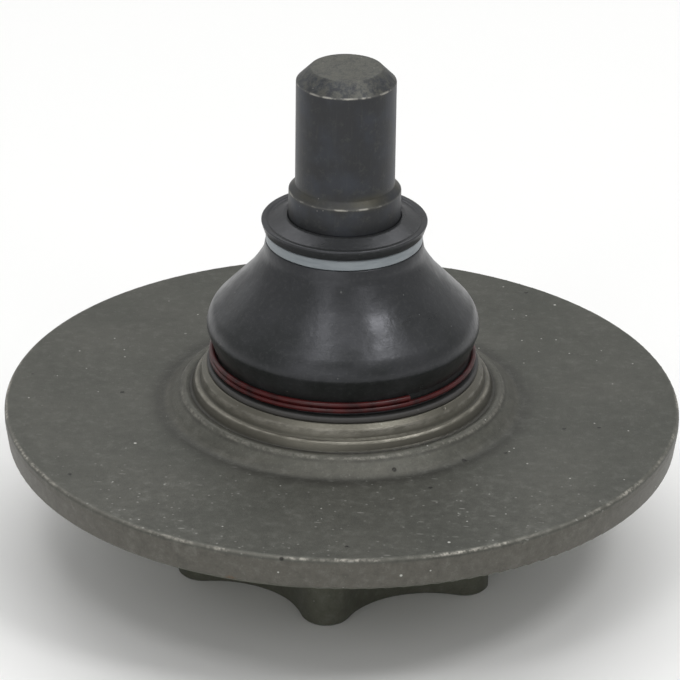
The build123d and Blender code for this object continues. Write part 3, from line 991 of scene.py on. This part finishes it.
@dataclass
class DustBoot:
    """Moulded boot, as a closed turned shell from its foot to its neck.

    Radii and heights follow the outer line from the foot to the lip, with heights above the foot.
    """

    foot_r: float = 22.55           # bore of the foot
    bead_r: float = 27.7
    bead_h: float = 1.2
    groove_r: float = 26.05         # floor of the wire's groove
    groove_top: float = 4.1
    belly_r: float = 27.7
    belly_low: float = 8.8
    belly_high: float = 11.5
    flank_r: float = 18.1           # end of the straight flank
    flank_h: float = 21.6
    hollow_r: float = 16.3          # end of the hollow above the flank
    hollow_h: float = 25.2
    neck_r: float = 15.85
    ring_seat_r: float = 14.2
    ring_gap: float = 0.05
    lip_foot_w: float = 1.9         # the lip stands out this far above the ring's seat
    lip_w: float = 2.65             # and this far at its top
    lip_t: float = 1.8
    rim_w: float = 1.1              # raised rim round the lip's dished top
    rim_h: float = 0.5
    seal_w: float = 0.9             # sealing edge round the collar
    bore_r: float = 11.35           # bore of the neck
    wall: float = 2.2
    inner_flank_drop: float = 1.0   # corners of the inner line below those of the outer line
    inner_belly_drop: float = 0.9
    inner_undercut_drop: float = 0.5
    thick_foot: float = 0.8         # the foot's thick wall reaches this far above the groove
    steps: int = 180
    name: str = "boot"

    def outer_line(self, ring_low: float, ring_high: float) -> list[Corner]:
        """Section of the boot's outside, from the foot's bore to the lip's dished top.

        Args:
            ring_low: Height of the neck ring's foot.
            ring_high: Height of its top.

        Returns:
            Corners in order.
        """
        seat_low = ring_low - self.ring_gap
        seat_high = ring_high + self.ring_gap
        lip_r = self.ring_seat_r + self.lip_w
        lip_top = seat_high + self.lip_t
        return [
            Corner(self.foot_r, 0, setback=0.4),
            Corner(self.bead_r, 0, setback=0.35),
            Corner(self.bead_r, self.bead_h, setback=0.5),
            Corner(self.groove_r, self.bead_h, setback=0.25),
            Corner(self.groove_r, self.groove_top, setback=0.3),
            Corner(self.belly_r, self.belly_low, setback=0.3),
            Corner(self.belly_r, self.belly_high, setback=2.35, segments=8),
            Corner(self.flank_r, self.flank_h, setback=3.2, segments=8),
            Corner(self.hollow_r, self.hollow_h, setback=0.7, segments=4),
            Corner(self.neck_r, seat_low, setback=0.25),
            Corner(self.ring_seat_r, seat_low),
            Corner(self.ring_seat_r, seat_high, setback=0.2),
            Corner(self.ring_seat_r + self.lip_foot_w, seat_high, setback=0.35),
            Corner(lip_r, lip_top + self.rim_h, setback=0.45),
            Corner(lip_r - self.rim_w, lip_top + self.rim_h, setback=0.3),
            Corner(lip_r - self.rim_w - self.rim_h, lip_top, setback=0.4),
        ]

    def inner_line(self, top: float) -> list[Corner]:
        """Section of the boot's inside, from the sealing edge down to the foot.

        Args:
            top: Height of the sealing edge.

        Returns:
            Corners in order.
        """
        inner_belly_r = self.belly_r - self.wall
        inner_flank_r = self.flank_r - self.wall
        return [
            Corner(self.bore_r + self.seal_w, top, setback=0.2),
            Corner(self.bore_r, top, setback=0.3),
            Corner(self.bore_r, self.hollow_h),
            Corner(inner_flank_r, self.flank_h - self.inner_flank_drop, setback=1.5, segments=4),
            Corner(inner_belly_r, self.belly_high - self.inner_belly_drop, setback=1.6, segments=4),
            Corner(inner_belly_r, self.belly_low - self.inner_undercut_drop, setback=0.6),
            Corner(self.foot_r, self.groove_top + self.thick_foot, setback=0.6),
        ]

    def build(self) -> list[bpy.types.Object]:
        """Turns the section and finishes the boot.

        Returns:
            The boot.
        """
        low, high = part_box("dust_boot")
        ring_low, ring_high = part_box("boot_neck_ring")
        foot = low.z
        section = self.outer_line((ring_low.z - foot) / MM, (ring_high.z - foot) / MM)
        section += self.inner_line((high.z - foot) / MM)
        mesh = turned_mesh(self.name, section, foot, self.steps)
        boot = bpy.data.objects.new(self.name, mesh)
        bpy.context.scene.collection.objects.link(boot)
        boot.data.materials.append(BootRubber(foot / MM + self.bead_h).material())
        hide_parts("dust_boot")
        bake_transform(boot)
        return [boot]


def turned_mesh(name: str, section: list[Corner], foot: float, steps: int) -> bpy.types.Mesh:
    """Turns a closed section about Z and rounds its corners.

    Args:
        name: The mesh's name.
        section: Corners in order.
        foot: Height of the section's zero, in metres.
        steps: Steps of the full turn.

    Returns:
        Smooth closed mesh with its faces outward.
    """
    form = bmesh.new()
    points = [form.verts.new((corner.radius * MM, 0, foot + corner.height * MM))
              for corner in section]
    sides = [form.edges.new(pair) for pair in zip(points, points[1:] + points[:1])]
    bmesh.ops.spin(
        form, geom=points + sides, cent=(0, 0, 0), axis=(0, 0, 1), angle=math.tau, steps=steps,
        use_merge=True, use_duplicate=False,
    )
    bmesh.ops.remove_doubles(form, verts=form.verts, dist=MERGE_REACH)
    for corner in section:
        if corner.setback:
            bmesh.ops.bevel(
                form, geom=ring_edges(form, corner, foot), offset=corner.setback * MM,
                offset_type="OFFSET", affect="EDGES", segments=corner.segments, profile=0.5,
                material=-1,
            )
    bmesh.ops.recalc_face_normals(form, faces=form.faces)
    for face in form.faces:
        face.smooth = True
    mesh = bpy.data.meshes.new(name)
    form.to_mesh(mesh)
    form.free()
    return mesh


def ring_edges(form: bmesh.types.BMesh, corner: Corner, foot: float) -> list[bmesh.types.BMEdge]:
    """Edges of the circle that a corner was turned into.

    Args:
        form: The turned mesh.
        corner: Corner of its section.
        foot: Height of the section's zero, in metres.

    Returns:
        The circle's edges.
    """

    def on_ring(point: Vector) -> bool:
        """Tells whether a point lies on the circle."""
        off = abs(point.xy.length - corner.radius * MM), abs(point.z - foot - corner.height * MM)
        return max(off) < RING_REACH

    return [edge for edge in form.edges if all(on_ring(vert.co) for vert in edge.verts)]


# ---- Studio ------------------------------------------------------------------
@dataclass(frozen=True)
class Softbox:
    """Rectangular area light that faces the joint.

    Azimuth 0 is at -Y and 90 at +X, as for the camera.
    """

    name: str
    azimuth: float
    elevation: float
    distance: float
    width: float
    height: float
    power: float

    def build(self, aim: Vector) -> None:
        """Adds the light.

        Args:
            aim: Point that it faces, in metres.
        """
        light = bpy.data.lights.new(self.name, "AREA")
        light.shape = "RECTANGLE"
        light.size = self.width
        light.size_y = self.height
        light.energy = self.power
        lamp = bpy.data.objects.new(self.name, light)
        toward = direction(self.azimuth, self.elevation)
        lamp.location = aim + toward * self.distance
        lamp.rotation_euler = (-toward).to_track_quat("-Z", "Y").to_euler()
        bpy.context.scene.collection.objects.link(lamp)


def direction(azimuth: float, elevation: float) -> Vector:
    """Unit vector from the joint towards a light or the camera.

    Args:
        azimuth: Degrees from -Y towards +X.
        elevation: Degrees above the horizon.

    Returns:
        The direction.
    """
    turn, lift = math.radians(azimuth), math.radians(elevation)
    return Vector((math.sin(turn) * math.cos(lift), -math.cos(turn) * math.cos(lift),
                   math.sin(lift)))


@dataclass
class Studio:
    """Floor, soft lights, pale surroundings and camera.

    The lights face a point on the axis. The camera aims beside and above it, by aim_right and
    aim_up across its view. Lengths are in metres, but for the lens, which is in millimetres.
    """

    aim_height: float
    floor_side: float = 4.0
    surroundings: Colour = (1.0, 1.0, 1.0, 1.0)
    surroundings_strength: float = 0.44
    azimuth: float = 5.0
    elevation: float = 25.744
    roll: float = 0.774
    distance: float = 0.828
    lens: float = 213.8
    aim_right: float = -0.00041
    aim_up: float = 0.01178
    softboxes: tuple[Softbox, ...] = (
        Softbox("overhead", 180, 66, 1.1, width=1.2, height=1.0, power=5.8),
        Softbox("front_top", 10, 76, 1.1, width=0.9, height=0.5, power=1.0),
        Softbox("front_low", -14, 12, 1.3, width=1.1, height=0.5, power=1.7),
        Softbox("front_left", -20, 59, 1.2, width=0.26, height=0.24, power=1.3),
        Softbox("front_right", 57, 56, 1.2, width=0.25, height=0.24, power=2.5),
        Softbox("strip_left", -20, 36, 1.2, width=0.14, height=0.45, power=0.6),
        Softbox("strip_right", 34, 36, 1.2, width=0.12, height=0.45, power=0.6),
        Softbox("back_left", -130, 30, 1.2, width=0.5, height=0.9, power=0.8),
        Softbox("back_right", 135, 28, 1.2, width=0.5, height=0.9, power=0.25),
    )

    def build(self) -> None:
        """Sets up everything round the joint."""
        self.build_floor()
        self.build_surroundings()
        self.build_camera()
        for softbox in self.softboxes:
            softbox.build(Vector((0, 0, self.aim_height)))
        bpy.context.scene.view_settings.view_transform = "Standard"

    def build_floor(self) -> None:
        """Adds the floor that the joint stands on."""
        form = bmesh.new()
        bmesh.ops.create_grid(form, x_segments=1, y_segments=1, size=self.floor_side / 2)
        mesh = bpy.data.meshes.new("floor")
        form.to_mesh(mesh)
        form.free()
        floor = bpy.data.objects.new("floor", mesh)
        floor.data.materials.append(StudioGround().material())
        bpy.context.scene.collection.objects.link(floor)

    def build_surroundings(self) -> None:
        """Lights the room evenly."""
        world = bpy.data.worlds.new("surroundings")
        world.use_nodes = True
        background = world.node_tree.nodes["Background"]
        background.inputs["Color"].default_value = self.surroundings
        background.inputs["Strength"].default_value = self.surroundings_strength
        bpy.context.scene.world = world

    def build_camera(self) -> None:
        """Places the camera."""
        lens = bpy.data.cameras.new("camera")
        lens.lens = self.lens
        camera = bpy.data.objects.new("camera", lens)
        back = direction(self.azimuth, self.elevation)
        tilt = Euler((math.radians(90 - self.elevation), 0, math.radians(self.azimuth)))
        turn = tilt.to_matrix() @ Matrix.Rotation(math.radians(self.roll), 3, "Z")
        right, up = turn.col[0], turn.col[1]
        aim = Vector((0, 0, self.aim_height)) + right * self.aim_right + up * self.aim_up
        camera.location = aim + back * self.distance
        camera.rotation_euler = turn.to_euler()
        bpy.context.scene.collection.objects.link(camera)
        bpy.context.scene.camera = camera


def main() -> None:
    """Builds the studio and every sub-assembly."""
    logging.basicConfig(level=logging.INFO, format="%(name)s: %(message)s")
    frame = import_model()
    nodes = frame["nodes"]
    housing = Housing(nodes)
    Studio(aim_height=housing.flange_top() * MM).build()
    for assembly in (housing, Stud(nodes), Bearing(nodes), BootClamps(nodes), DustBoot()):
        for piece in assembly.build():
            finish = piece.material_slots[0].material.name
            LOG.info("piece %s: %s, %d faces", piece.name, finish, len(piece.data.polygons))


if __name__ == "__main__":
    main()
